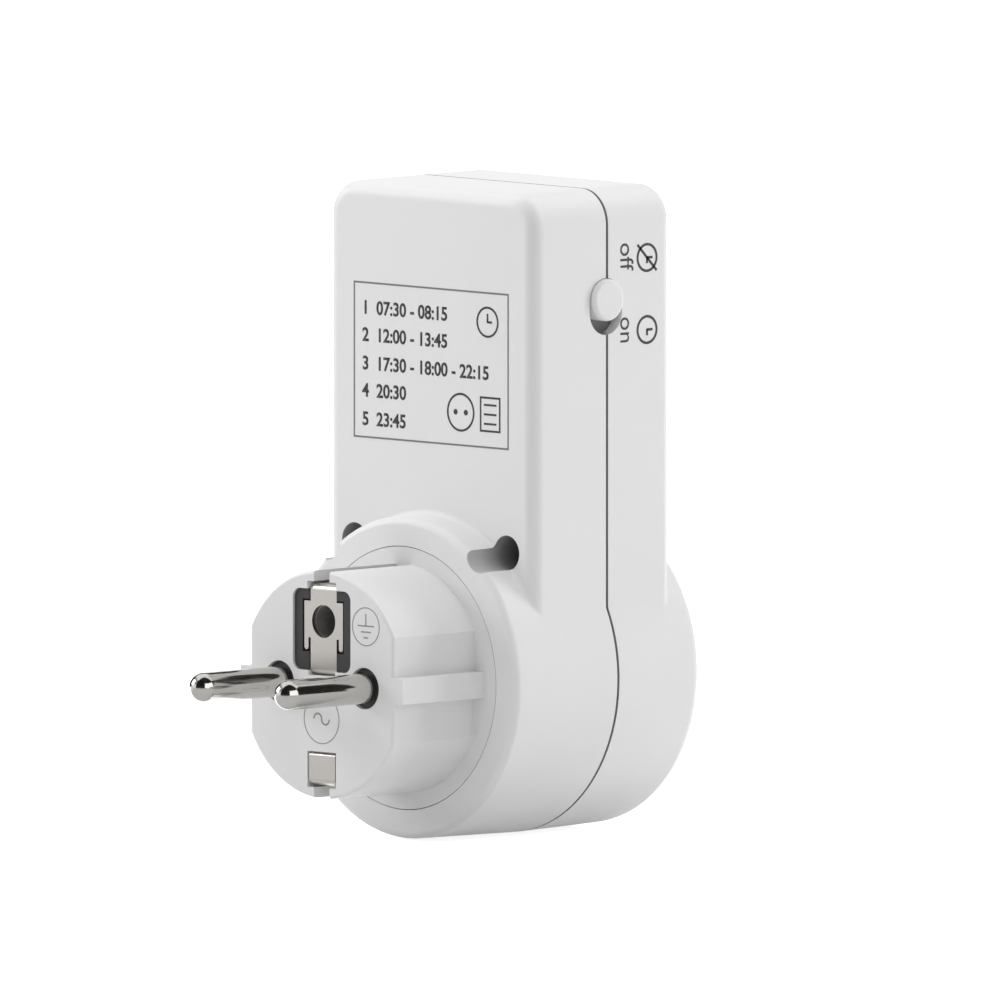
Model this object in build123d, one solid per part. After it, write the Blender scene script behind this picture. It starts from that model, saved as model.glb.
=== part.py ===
from build123d import *
import os
from math import cos, radians, sin

# Plug-in timer switch with a digital display, in millimetres.
# The origin is the centre of the plug's face, midway between the two pins. The pins point
# along +Y, the display and the outlet face -Y, and +Z is up. Every "depth" below is a
# distance behind the plug's face, measured along -Y.

# ---- plug ----
pin_radius = 2.4
pin_reach = 19.0
pin_root_radius = 2.2
pin_root_length = 0.5
pin_spacing = 19.0
pin_shoulder_radius = 3.4
pin_shoulder = 1.5
pin_stub_radius = 1.5
pin_stub = 2.6
plug_radius = 18.07
plug_half_width = 16.0
plug_edge_round = 0.5
face_wall = 3.0
plug_side_wall = 2.1
rib_height = 4.1
rib_reach = 18.15
pin_hole_radius = 3.3
pin_bush_recess = 0.7
fit_gap = 0.02
assembly_gap = 0.15
seat_gap = 0.05
cut_over = 1.0
same_place = 1e-6
weld = 0.5

# ---- plug's earth contacts ----
earth_hole_height = 10.0
earth_hole_radius = 2.6
earth_sheet = 0.7
earth_sheet_recess = 0.45
window_half_width = 6.45
window_low = 2.15
window_corner = 1.5
strap_neck_half = 2.9
strap_body_half = 4.3
strap_body_low = 7.3
strap_body_high = 13.1
strap_claw_low = 5.4
strap_claw_width = 0.9
strap_end_height = 1.85
strap_tail = 4.6
strap_gap = 0.1
bed_gap = 0.3
frame_gap = 0.12
frame_recess = 0.35
bush_gap = 0.08
groove_half_width = 1.75
track_half_width = 3.2
track_floor = 15.05
track_height = 1.25
track_wall = 1.45
bottom_window_top = 10.6
bottom_clip_recess = 0.1
bottom_clip_gap = 0.3
receptacle_radius = 2.5
receptacle_wall = 0.4
receptacle_end = 11.6
receptacle_slit = 1.3
receptacle_hoop = 2.4
receptacle_set_back = 0.1

# ---- case ----
collar_end = 18.05
collar_rise = 6.13
rear_shell_length = 15.97
front_shell_length = 14.65
rim_proud = 4.65
drum_air = 1.27
collar_draft = 0.27
rim_draft = 0.47
collar_round = 1.2
rim_round = 2.0
collar_fillet = 0.8
box_inset = 2.57
box_top = 77.15
box_corner = 5.5
back_edge_round = 2.2
front_edge_round = 2.0
case_wall = 2.0
end_wall = 2.2
seam_gap = 0.5
tongue_height = 1.2
tongue_gap = 0.1
box_foot = 5.0

# ---- plug insert's flange ----
collar_lip = 4.65
insert_gap = 0.12
insert_flange_rim = 1.35
insert_flange = 1.75
core_depth = 12.0

# ---- case screws ----
well_angle = 50.14
well_reach = 1.17
well_radius = 2.8
well_wall = 1.4
well_floor_set_back = 6.15
well_floor = 2.0
case_screw_head_radius = 2.4
case_screw_head = 1.8
case_screw_radius = 1.25
case_screw_length = 12.0
case_screw_hole_gap = 0.4
driver_slot_width = 0.6
driver_slot_depth = 0.9
post_radius = 2.7
pilot_gap = 0.05

# ---- snap tabs at the top of the case ----
snap_x = 9.0
snap_width = 6.0
snap_thickness = 1.2
snap_reach = 6.15
snap_root_reach = 5.65
snap_barb = 0.6
snap_barb_length = 1.6

# ---- outlet ----
recess_radius = 19.5
recess_depth = 17.5
cheek_half_width = 16.6
cheek_groove_half = 2.6
cheek_groove_ledge = 0.3
cup_wall = 1.4
cup_floor = 2.4
cup_gap = 0.1
cup_set_back = 0.15
cup_mouth_chamfer = 0.6
cup_flange_rim = 1.5
cup_flange = 2.0
outlet_hole_radius = 2.8
outlet_hole_chamfer = 0.5
earth_slot_half = 2.8
earth_slot_rise = 1.55
earth_slot_length = 10.5
earth_slot_entry = 2.6
earth_arm_half = 2.2
earth_arm_gap = 0.4
earth_touch_entry = 2.9
earth_touch_set_back = 3.8
earth_return_rise = 1.9
earth_back_gap = 1.8

# ---- shutter ----
shutter_post_radius = 1.5
shutter_running = 0.05
shutter_hub_radius = 3.2
shutter_paddle_radius = 3.5
shutter_arm_width = 3.0
shutter_thickness = 2.0
shutter_float = 0.35
shutter_rear_gap = 0.6
shutter_ramp = 1.2
shutter_ramp_start = 0.8
spring_sheet = 0.35
spring_width = 1.2

# ---- contact block behind the outlet ----
block_plate = 1.4
block_plate_radius = 15.5
block_hole_radius = 3.0
chamber_half_x = 3.8
chamber_half_z = 3.4
chamber_wall = 0.9
contact_gap = 0.9
block_post_z = 13.0
block_post_radius = 1.6
contact_sheet = 0.6
contact_half_height = 3.0
contact_flare = 1.6

# ---- busbars ----
bar_sheet = 0.8
bar_width = 5.0
bar_leg_height = 4.4
bar_wall_gap = 0.22
bar_air = 0.6
line_out_x = 4.7
line_out_width = 3.0
bar_entry_rise = 3.6
bar_tail = 1.2
bridge_half_width = 3.0
bridge_gap = 0.25
bridge_leg_height = 8.0

# ---- power board ----
power_board_rise = 2.82
board_thickness = 1.6
board_edge_gap = 1.6
board_corner = 1.0
board_well_gap = 2.4
power_board_drop = 4.15
board_boss_inset = 3.9
board_boss_rise = 4.2
board_boss_drop = 3.4
board_boss_radius = 2.4
board_screw_radius = 0.75
board_screw_head_radius = 1.6
board_screw_head = 1.0
board_screw_slot = 0.4
board_screw_grip = 1.6
board_hole_radius = 1.0

# ---- control board, display and keys ----
display_stack = 6.2
control_board_step = 0.5
control_board_drop = 2.65
control_boss_inset = 1.9
control_boss_rise = 2.5
control_boss_drop = 2.0
control_boss_radius = 1.6
display_margin = 5.1
display_key_rise = 6.5
display_drop = 7.65
display_corner = 1.5
display_ledge = 1.8
display_window_thickness = 1.0
window_gap = 0.1
lcd_side_gap = 1.1
lcd_inset = 0.5
lcd_thickness = 2.6
lcd_standoff = 1.4
lcd_frame_wall = 1.0
lcd_frame_lip = 0.5
zebra_height = 1.8
zebra_inset = 1.0
key_margin = 10.1
key_spacing_z = 7.5
key_width = 9.0
key_height = 5.2
key_corner = 1.3
key_gap = 0.2
key_proud = 0.9
key_edge = 0.35
key_flange_rim = 0.7
key_flange = 1.0
key_plunger_radius = 1.5
key_travel = 0.8
key_mat_thickness = 0.7
key_mat_rim = 0.6
dome_radius = 2.4
dome_top_radius = 1.6
dome_height = 0.45
reset_rise = 2.7
reset_key_rise = 6.3
reset_radius = 1.3
reset_sunk = 0.6
indicator_radius = 1.5
indicator_flange = 0.6
indicator_proud = 0.2
led_height = 2.0

# ---- slide switch ----
knob_radius = 3.35
knob_round = 0.7
knob_proud = 0.9
knob_drop = 17.3
knob_travel = 2.1
knob_gap = 0.25
knob_end_gap = 0.1
stem_side = 2.0
stem_gap = 0.3
shroud_overlap = 0.7
shroud_thickness = 0.7
shroud_gap = 0.1
switch_half_height = 6.0
switch_half_depth = 3.2
switch_thickness = 5.4
switch_wall_gap = 1.2
switch_socket = 2.4
leg_side = 0.6
leg_pitch = 3.6

# ---- components ----
part_edge = 0.4
component_gap = 1.2
relay_x = 4.5
relay_bar_gap = 2.4
relay_width = 15.0
relay_height = 19.0
relay_clearance = 1.0
supply_capacitor_x = -10.5
supply_capacitor_size = (7.0, 13.0, 10.0)
smoothing_capacitor_x = -7.5
smoothing_capacitor_radius = 4.0
smoothing_capacitor_length = 11.0
varistor_inset = 3.8
varistor_boss_gap = 3.4
varistor_radius = 4.5
varistor_thickness = 3.4
resistor_inset = 3.5
resistor_radius = 1.7
resistor_length = 8.0
lead_radius = 0.35
lead_rise = 1.0
rectifier_x = 4.0
rectifier_relay_gap = 3.0
rectifier_size = (6.5, 5.0, 2.6)
chip_relay_gap = 0.5
chip_rise = 22.5
chip_side = 9.0
chip_thickness = 1.4
crystal_radius = 1.1
crystal_length = 6.0
battery_x = 9.6
battery_radius = 5.8
battery_height = 5.0
battery_clip_width = 3.0
battery_clip_sheet = 0.3
link_spacing = 2.54
link_pins = 5
link_drop = 2.4
link_block = 2.2
link_pin_width = 0.64
link_x = -2.0

# ---- worked out from the values above ----
cup_outer_radius = recess_radius + cup_wall
cup_flange_radius = cup_outer_radius + cup_flange_rim
drum_radius = cup_flange_radius + drum_air + case_wall
collar_end_radius = drum_radius - collar_draft
rim_radius = drum_radius - rim_draft
box_half_width = drum_radius - box_inset
insert_radius = collar_end_radius - collar_lip
insert_flange_radius = insert_radius + insert_flange_rim
well_distance = collar_end_radius + well_reach
well_x = well_distance * cos(radians(well_angle))
well_z = well_distance * sin(radians(well_angle))
board_half_width = box_half_width - case_wall - board_edge_gap
board_boss_x = board_half_width - board_boss_inset
control_boss_x = board_half_width - control_boss_inset
display_half_width = box_half_width - display_margin
lcd_half_width = display_half_width - lcd_side_gap
key_spacing_x = box_half_width - key_margin
key_columns = (-key_spacing_x, 0, key_spacing_x)
reset_x = key_columns[0]
indicator_x = key_columns[2]
power_board_low = well_z + well_radius + well_wall + board_well_gap
power_board_high = box_top - power_board_drop
board_boss_heights = (power_board_low + board_boss_rise, power_board_high - board_boss_drop)
control_board_low = power_board_low + control_board_step
control_board_high = box_top - control_board_drop
control_boss_heights = (control_board_low + control_boss_rise, control_board_high - control_boss_drop)
bar_entry_height = power_board_low + bar_entry_rise
reset_z = control_board_low + reset_rise
key_rows = (reset_z + reset_key_rise + key_spacing_z, reset_z + reset_key_rise)
display_low = key_rows[0] + display_key_rise
display_high = box_top - display_drop
lcd_low = display_low + lcd_inset
lcd_high = display_high - lcd_inset
box_back = collar_end + collar_rise
box_back_inner = box_back + case_wall
seam_depth = box_back + rear_shell_length
front_depth = seam_depth + front_shell_length
rim_depth = front_depth + rim_proud
well_floor_depth = seam_depth - well_floor_set_back
snap_near = seam_depth - snap_reach
snap_root = seam_depth + snap_root_reach
front_inner = front_depth - case_wall
flange_depth = collar_end + end_wall + seat_gap
insert_back = flange_depth + insert_flange
cavity_half_width = plug_half_width - plug_side_wall
cavity_half_height = track_floor - track_wall
cavity_radius = plug_radius - plug_side_wall
strap_front = earth_sheet_recess
strap_back = earth_sheet_recess + earth_sheet
track_roof = track_floor + track_height
track_middle = track_floor + earth_sheet_recess / 2 + earth_sheet / 2
socket_radius = receptacle_radius + receptacle_wall + pilot_gap
bridge_depth = insert_back + bridge_gap
cup_front = rim_depth - cup_set_back
cup_floor_depth = rim_depth - recess_depth
cup_back = cup_floor_depth - cup_floor
front_wall_inner = rim_depth - end_wall
cup_flange_depth = front_wall_inner - seat_gap
shutter_far = cup_back - shutter_float
shutter_near = shutter_far - shutter_thickness
block_plate_depth = shutter_near - shutter_rear_gap - block_plate
earth_slot_near = cup_floor_depth + earth_slot_rise
earth_slot_far = earth_slot_near + earth_slot_length
earth_slot_low = recess_radius - earth_slot_entry
earth_back_depth = block_plate_depth - earth_back_gap
line_in_depth = box_back_inner + bar_wall_gap + bar_sheet / 2
bar_depth = line_in_depth + bar_sheet + bar_air
chamber_end = bar_depth + bar_sheet / 2 + contact_gap
power_board_depth = box_back_inner + power_board_rise
power_board_front = power_board_depth + board_thickness
control_board_depth = front_inner - display_stack
control_board_front = control_board_depth + board_thickness
relay_rise = control_board_depth - power_board_front - relay_clearance
relay_low = bar_entry_height + relay_bar_gap
relay_high = relay_low + relay_height
relay_z = relay_low + relay_height / 2
supply_capacitor_high = relay_low + supply_capacitor_size[1]
supply_capacitor_z = supply_capacitor_high - supply_capacitor_size[1] / 2
smoothing_capacitor_z = supply_capacitor_high + component_gap + smoothing_capacitor_radius
rectifier_z = relay_high + rectifier_relay_gap + rectifier_size[1] / 2
varistor_x = board_half_width - varistor_inset
resistor_x = board_half_width - resistor_inset
varistor_z = board_boss_heights[0] + board_boss_radius + varistor_boss_gap + varistor_radius
resistor_low = varistor_z + varistor_radius + component_gap + lead_radius + lead_rise
resistor_z = resistor_low + resistor_length / 2
chip_x = relay_x - relay_width / 2 - chip_relay_gap - chip_side / 2
chip_z = control_board_low + chip_rise
crystal_z = chip_z + chip_side / 2 + component_gap + crystal_radius
battery_z = relay_high + component_gap + battery_radius
link_z = power_board_high - link_drop
pin_x = pin_spacing / 2
pin_xs = (-pin_x, pin_x)
knob_height = box_top - knob_drop
knob_low = knob_height - knob_travel
slot_low = knob_low - knob_radius - knob_end_gap
slot_high = knob_height + knob_radius + knob_end_gap
switch_face = -(box_half_width - case_wall) + switch_wall_gap


# ---- shape helpers ----
def at(x, z, outline):
    """Outline moved to this X and Z before it is given its depth."""
    return Pos(x, z) * outline


def slab(outline, near, far):
    """Solid with an outline drawn in X and Z, between two depths."""
    return extrude(Plane.XZ.offset(near) * outline, amount=far - near)


def block(x_low, x_high, z_low, z_high, near, far):
    outline = Rectangle(x_high - x_low, z_high - z_low)
    return slab(at((x_low + x_high) / 2, (z_low + z_high) / 2, outline), near, far)


def rod(x, z, radius, near, far):
    return slab(at(x, z, Circle(radius)), near, far)


def across(outline, x_low, x_high):
    """Solid with an outline drawn in Y and Z, between two values of X."""
    return extrude(Plane.YZ.offset(x_low) * outline, amount=x_high - x_low)


def spun(profile):
    """Solid of revolution about the plug's axis from (radius, depth) corners."""
    corners = [(radius, -depth) for radius, depth in profile]
    return revolve(make_face(Polyline(corners, close=True)), Axis.Y)


def ribbon(path, sheet, bend):
    """Outline of a bent sheet seen edge on, from its middle line; its ends are rounded."""
    corners = [Vector(*corner) for corner in path]
    corners[0] += (corners[1] - corners[0]).normalized() * sheet / 2
    corners[-1] += (corners[-2] - corners[-1]).normalized() * sheet / 2
    line = FilletPolyline(*corners, radius=bend)
    return make_face(offset(line, amount=sheet / 2, side=Side.BOTH))


def side_strip(path, sheet, bend, x_middle, width):
    """Bent strip whose middle line is given as (depth, Z) corners."""
    outline = ribbon([(-depth, z) for depth, z in path], sheet, bend)
    return across(outline, x_middle - width / 2, x_middle + width / 2)


def mirrored(solid):
    return mirror(solid, about=Plane.YZ)


def flipped(solid):
    """The same solid, upside down."""
    return mirror(solid, about=Plane.XY)


# ---- case ----
def box_outline(inset):
    """Upper, square part of the case in X and Z; its foot is lost inside the drum."""
    width = 2 * (box_half_width - inset)
    low = -box_foot + inset
    high = box_top - inset
    return at(0, (low + high) / 2, RectangleRounded(width, high - low, box_corner - inset))


def drum_profile(inset, end_depth, end_radius, edge_round):
    """Half section of the round part, from the seam to one of its two ends."""
    corners = [(0, seam_depth), (drum_radius - inset, seam_depth), (end_radius - inset, end_depth),
               (0, end_depth)]
    solid = spun(corners)
    if edge_round:
        rim = solid.edges().filter_by(GeomType.CIRCLE).filter_by(
            lambda edge: abs(edge.center().Y + end_depth) < same_place)
        solid = fillet(rim, edge_round)
    return solid


def with_soft_corner(outside, depth):
    """Fillets the corner that runs over the drum from the box's face at this depth to its sides."""
    corner = outside.edges().filter_by(GeomType.CIRCLE).filter_by(
        lambda edge: abs(edge.center().Y + depth) < same_place and edge.radius > insert_radius)
    return fillet(corner, collar_fillet)


def rear_outside():
    box = slab(box_outline(0), box_back, seam_depth)
    box = fillet(box.faces().sort_by(Axis.Y)[-1].edges(), back_edge_round)
    drum = drum_profile(0, collar_end, collar_end_radius, collar_round)
    return with_soft_corner(box + drum, box_back)


def front_outside():
    box = slab(box_outline(0), seam_depth, front_depth)
    box = fillet(box.faces().sort_by(Axis.Y)[0].edges(), front_edge_round)
    drum = drum_profile(0, rim_depth, rim_radius, rim_round)
    return with_soft_corner(box + drum, front_depth)


def seam_ring(inner_inset, outer_inset, near, far):
    """Ring that follows the case's outline, for the tongue and its groove."""
    def outline(inset):
        return box_outline(inset) + Circle(drum_radius - inset)
    return slab(outline(outer_inset) - outline(inner_inset), near, far)


def slider_slot():
    """Slot across the seam in the side wall for the slider's knob."""
    half_width = knob_radius + knob_gap
    slot = SlotOverall(slot_high - slot_low, 2 * half_width, rotation=90)
    outline = Pos(-seam_depth, (slot_low + slot_high) / 2) * slot
    return across(outline, -box_half_width - cut_over, -box_half_width + case_wall + cut_over)


def snap_tab():
    """Flexible tab inside the top wall, with a barb for the rear shell's pocket."""
    top = box_top - case_wall - tongue_gap
    low = top - snap_thickness
    left = snap_x - snap_width / 2
    right = snap_x + snap_width / 2
    arm = block(left, right, low, top, snap_near, snap_root)
    root = block(left, right, low, top + case_wall / 2, seam_depth + 2 * tongue_height, snap_root)
    barb_end = -snap_near - snap_barb_length
    corners = [(-snap_near, top), (barb_end, top + snap_barb), (barb_end, low), (-snap_near, low)]
    barb = across(make_face(Polyline(*corners, close=True)), left, right)
    return arm + root + barb


def snap_pocket():
    top = box_top - case_wall
    left = snap_x - snap_width / 2 - tongue_gap
    right = snap_x + snap_width / 2 + tongue_gap
    return block(left, right, top - cut_over, top + snap_barb, snap_near - tongue_gap,
                 snap_near + snap_barb_length + tongue_gap)


def rear_shell():
    outside = rear_outside()
    cavity = slab(box_outline(case_wall), box_back_inner, seam_depth)
    drum_cavity = drum_profile(case_wall, collar_end + end_wall, collar_end_radius, 0)
    shell = outside - cavity - drum_cavity
    for side in (-1, 1):
        x = side * well_x
        sleeve = rod(x, well_z, well_radius + well_wall, collar_end, well_floor_depth + well_floor)
        shell += sleeve & outside
    for side in (-1, 1):
        x = side * well_x
        shell -= rod(x, well_z, well_radius, collar_end - cut_over, well_floor_depth)
        shell -= rod(x, well_z, case_screw_radius + case_screw_hole_gap, well_floor_depth - cut_over,
                     seam_depth)
        for z in board_boss_heights:
            boss_x = side * board_boss_x
            shell += rod(boss_x, z, board_boss_radius, box_back_inner - weld, power_board_depth)
            shell -= rod(boss_x, z, board_screw_radius + pilot_gap, box_back_inner, power_board_depth)
    shell += seam_ring(case_wall, case_wall / 2, seam_depth - weld, seam_depth + tongue_height)
    shell -= rod(0, 0, insert_radius + insert_gap, collar_end - cut_over, collar_end + end_wall + cut_over)
    pocket = snap_pocket()
    shell -= pocket
    shell -= mirrored(pocket)
    return shell - slider_slot()


def key_outline(grow):
    return RectangleRounded(key_width + 2 * grow, key_height + 2 * grow, key_corner + grow)


def display_outline(inset):
    width = 2 * (display_half_width - inset)
    height = display_high - display_low - 2 * inset
    corner = max(display_corner - inset, display_corner / 5)
    return at(0, (display_low + display_high) / 2, RectangleRounded(width, height, corner))


def front_shell():
    outside = front_outside()
    cavity = slab(box_outline(case_wall), seam_depth, front_inner)
    drum_cavity = drum_profile(case_wall, front_wall_inner, rim_radius, 0)
    shell = outside - cavity - drum_cavity
    shell -= seam_ring(case_wall + tongue_gap, case_wall / 2 - tongue_gap, seam_depth,
                       seam_depth + tongue_height + tongue_gap)
    shell -= seam_ring(case_wall / 2, -cut_over, seam_depth - cut_over, seam_depth + seam_gap)
    for side in (-1, 1):
        x = side * well_x
        post_near = well_floor_depth + well_floor + assembly_gap
        post = rod(x, well_z, post_radius, post_near, front_inner + weld)
        shell += post - rod(x, well_z, case_screw_radius + pilot_gap, post_near - cut_over,
                            well_floor_depth + case_screw_length + cut_over)
        for z in control_boss_heights:
            boss = rod(side * control_boss_x, z, control_boss_radius, control_board_front, front_inner + weld)
            shell += boss - rod(side * control_boss_x, z, board_screw_radius + pilot_gap,
                                control_board_front - cut_over, front_inner - cut_over)
    shell -= rod(0, 0, cup_outer_radius + cup_gap, front_wall_inner - cut_over, rim_depth + cut_over)
    shell -= slab(display_outline(0), front_depth - display_window_thickness, front_depth + cut_over)
    shell -= slab(display_outline(display_ledge), front_inner - cut_over, front_depth)
    for x in key_columns:
        for z in key_rows:
            shell -= slab(at(x, z, key_outline(key_gap)), front_inner - cut_over, front_depth + cut_over)
    shell -= rod(reset_x, reset_z, reset_radius + key_gap, front_inner - cut_over, front_depth + cut_over)
    shell -= rod(indicator_x, reset_z, indicator_radius + pilot_gap, front_inner - cut_over,
                 front_depth + cut_over)
    tab = snap_tab()
    shell += tab
    shell += mirrored(tab)
    return shell - slider_slot()


def case_screws():
    screws = []
    for side in (-1, 1):
        x = side * well_x
        head_near = well_floor_depth - case_screw_head
        head = rod(x, well_z, case_screw_head_radius, head_near, well_floor_depth)
        head = chamfer(head.faces().sort_by(Axis.Y)[-1].edges(), case_screw_head / 4)
        for turn in (0, 90):
            cross = Rectangle(case_screw_head_radius, driver_slot_width, rotation=turn)
            head -= slab(at(x, well_z, cross), head_near - cut_over, head_near + driver_slot_depth)
        shank = rod(x, well_z, case_screw_radius, well_floor_depth, well_floor_depth + case_screw_length)
        screws.append(head + shank)
    return screws


# ---- plug ----
def earth_window():
    """Outline of the opening in the plug's face for the earth contact."""
    height = track_floor - window_low
    return at(0, window_low + height / 2, RectangleRounded(2 * window_half_width, height, window_corner))


def earth_track():
    """T-shaped groove along the top of the plug, which holds the earth strip."""
    wide = block(-track_half_width, track_half_width, track_floor, track_roof, -cut_over,
                 insert_back + cut_over)
    mouth = block(-groove_half_width, groove_half_width, track_floor, plug_radius + cut_over, -cut_over,
                  collar_end)
    return wide + mouth


def plug_insert():
    face = Circle(plug_radius) & Rectangle(2 * plug_half_width, 2 * plug_radius)
    boss = slab(face, 0, collar_end)
    boss = fillet(boss.faces().sort_by(Axis.Y)[-1].edges(), plug_edge_round)
    ribs = block(-rib_reach, rib_reach, -rib_height / 2, rib_height / 2, 0, collar_end)
    disc = rod(0, 0, insert_radius, collar_end, flange_depth + insert_flange / 2)
    flange = rod(0, 0, insert_flange_radius, flange_depth, insert_back)
    insert = boss + ribs + disc + flange
    cavity = Circle(cavity_radius) & Rectangle(2 * cavity_half_width, 2 * cavity_half_height)
    insert -= slab(cavity, face_wall, insert_back + cut_over)
    insert -= slab(earth_window(), -cut_over, face_wall + cut_over)
    neck = strap_neck_half + strap_gap
    insert -= block(-neck, neck, track_floor - weld, track_floor + weld, -cut_over, face_wall + cut_over)
    insert -= block(-neck, neck, strap_end_height - earth_sheet / 2 - strap_gap, window_low + weld, -cut_over,
                    face_wall + cut_over)
    insert -= earth_track()
    insert -= flipped(earth_track())
    insert -= rod(0, earth_hole_height, socket_radius, face_wall, core_depth)
    insert -= block(-track_half_width, track_half_width, -track_roof, -bottom_window_top, -cut_over,
                    strap_back + strap_gap)
    for x in pin_xs:
        insert -= rod(x, 0, pin_hole_radius, -cut_over, face_wall + cut_over)
    return insert


def contact_carrier():
    """Dark core behind the plug's face; it holds the pins and the earth socket."""
    half_width = cavity_half_width - assembly_gap
    half_height = cavity_half_height - assembly_gap
    core = Circle(cavity_radius - assembly_gap) & Rectangle(2 * half_width, 2 * half_height)
    carrier = slab(core, face_wall + seat_gap, core_depth)
    height = track_floor - window_low - 2 * frame_gap
    frame_outline = RectangleRounded(2 * (window_half_width - frame_gap), height, window_corner - frame_gap)
    frame = slab(at(0, (track_floor + window_low) / 2, frame_outline), frame_recess, face_wall)
    link = frame_outline & at(0, -half_height, Rectangle(4 * half_width, 2 * height))
    frame += slab(at(0, (track_floor + window_low) / 2, link), face_wall - weld, face_wall + weld)
    bed_depth = strap_back + seat_gap
    bed = block(-strap_body_half - bed_gap, strap_body_half + bed_gap, strap_claw_low - bed_gap,
                strap_body_high + bed_gap, -cut_over, bed_depth)
    neck = strap_neck_half + assembly_gap
    carrier += frame - bed - block(-neck, neck, window_low - weld, track_roof, -cut_over, bed_depth)
    for x in pin_xs:
        carrier += rod(x, 0, pin_hole_radius - bush_gap, pin_bush_recess, face_wall + weld)
    tail_half = earth_sheet / 2 + assembly_gap
    carrier -= block(-neck, neck, strap_end_height - tail_half, strap_end_height + tail_half, 0,
                     strap_tail + assembly_gap)
    for x in pin_xs:
        carrier -= rod(x, 0, pin_root_radius + fit_gap, -cut_over, core_depth + cut_over)
    return carrier - rod(0, earth_hole_height, socket_radius, -cut_over, core_depth + cut_over)


def plug_pin(x):
    """Solid pin: domed tip, root in the core, shoulder behind it and stub for a busbar."""
    shaft = rod(x, 0, pin_radius, -pin_reach, -pin_root_length)
    shaft = fillet(shaft.faces().sort_by(Axis.Y)[-1].edges(), pin_radius - fit_gap)
    shoulder_near = core_depth + fit_gap
    shoulder_far = shoulder_near + pin_shoulder
    root = rod(x, 0, pin_root_radius, -pin_root_length, shoulder_far)
    shoulder = rod(x, 0, pin_shoulder_radius, shoulder_near, shoulder_far)
    return shaft + root + shoulder + rod(x, 0, pin_stub_radius, shoulder_near, shoulder_far + pin_stub)


def earth_strap():
    """Strip in the top groove that bends down over the window and ends in a tail."""
    middle = strap_front + earth_sheet / 2
    path = [(bridge_depth - seat_gap, track_middle), (middle, track_middle), (middle, strap_end_height),
            (strap_tail, strap_end_height)]
    bent = side_strip(path, earth_sheet, earth_sheet, 0, 2 * strap_body_half)
    neck = Rectangle(2 * strap_neck_half, 2 * track_roof)
    body = Rectangle(2 * strap_body_half, strap_body_high - strap_body_low)
    outline = at(0, track_roof, neck) + at(0, (strap_body_high + strap_body_low) / 2, body)
    claw_height = strap_body_low - strap_claw_low + weld
    claw_x = strap_body_half - strap_claw_width / 2
    for side in (-1, 1):
        claw = SlotOverall(claw_height, strap_claw_width, rotation=90)
        outline += at(side * claw_x, strap_claw_low + claw_height / 2, claw)
    strap = bent & slab(outline, -cut_over, bridge_depth + cut_over)
    return strap - rod(0, earth_hole_height, earth_hole_radius, -cut_over, strap_back + cut_over)


def earth_clip_bottom():
    middle = bottom_clip_recess + earth_sheet / 2
    top = -bottom_window_top - bottom_clip_gap
    path = [(bridge_depth - seat_gap, -track_middle), (middle, -track_middle), (middle, top)]
    return side_strip(path, earth_sheet, earth_sheet, 0, 2 * strap_neck_half)


def earth_receptacle():
    """Sleeve whose two fingers, joined by a hoop at the back, grip a round earth pin."""
    outer = receptacle_radius + receptacle_wall
    near = strap_back + receptacle_set_back
    sleeve = rod(0, earth_hole_height, outer, near, receptacle_end)
    sleeve -= rod(0, earth_hole_height, receptacle_radius, near - cut_over, receptacle_end + cut_over)
    slit = at(0, earth_hole_height, Rectangle(receptacle_slit, 2 * (outer + cut_over)))
    return sleeve - slab(slit, near - cut_over, receptacle_end - receptacle_hoop)


def earth_bridge():
    """Plate behind the insert that joins both earth strips, with a leg to the outlet."""
    far = bridge_depth + bar_sheet
    reach = track_middle + earth_sheet / 2
    plate = block(-bridge_half_width, bridge_half_width, -reach, reach, bridge_depth, far)
    half_leg = bar_sheet / 2
    leg = block(-earth_arm_half, earth_arm_half, bridge_leg_height - half_leg, bridge_leg_height + half_leg,
                bridge_depth, earth_back_depth - earth_sheet / 2 - seat_gap)
    return plate + leg


# ---- outlet ----
def recess_outline():
    round_part = Circle(recess_radius) & Rectangle(2 * cheek_half_width, 2 * recess_radius)
    groove = Rectangle(2 * (recess_radius - cheek_groove_ledge), 2 * cheek_groove_half)
    return round_part + groove


def funnel(x, radius, size, depth):
    """Cone that chamfers a hole's edge where it opens at this depth."""
    cone = Cone(radius, radius + 2 * size, 2 * size)
    return Pos(x, -depth, 0) * Rot(90, 0, 0) * cone


def outlet_insert():
    """Cup for a round earthed plug, with flat cheeks, grooves and slots for earth clips."""
    cup = rod(0, 0, cup_outer_radius, cup_back, cup_front)
    cup += rod(0, 0, cup_flange_radius, cup_flange_depth - cup_flange, cup_flange_depth)
    cup -= slab(recess_outline(), cup_floor_depth, cup_front + cut_over)
    cup -= funnel(0, recess_radius, cup_mouth_chamfer, cup_front)
    for x in pin_xs:
        cup -= rod(x, 0, outlet_hole_radius, cup_back - cut_over, cup_floor_depth + cut_over)
        cup -= funnel(x, outlet_hole_radius, outlet_hole_chamfer, cup_floor_depth)
    slot = block(-earth_slot_half, earth_slot_half, earth_slot_low, cup_outer_radius + cut_over,
                 earth_slot_near, earth_slot_far)
    cup -= slot
    cup -= flipped(slot)
    post_near = block_plate_depth + block_plate + seat_gap
    return cup + rod(0, 0, shutter_post_radius, post_near, cup_back + weld)


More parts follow.
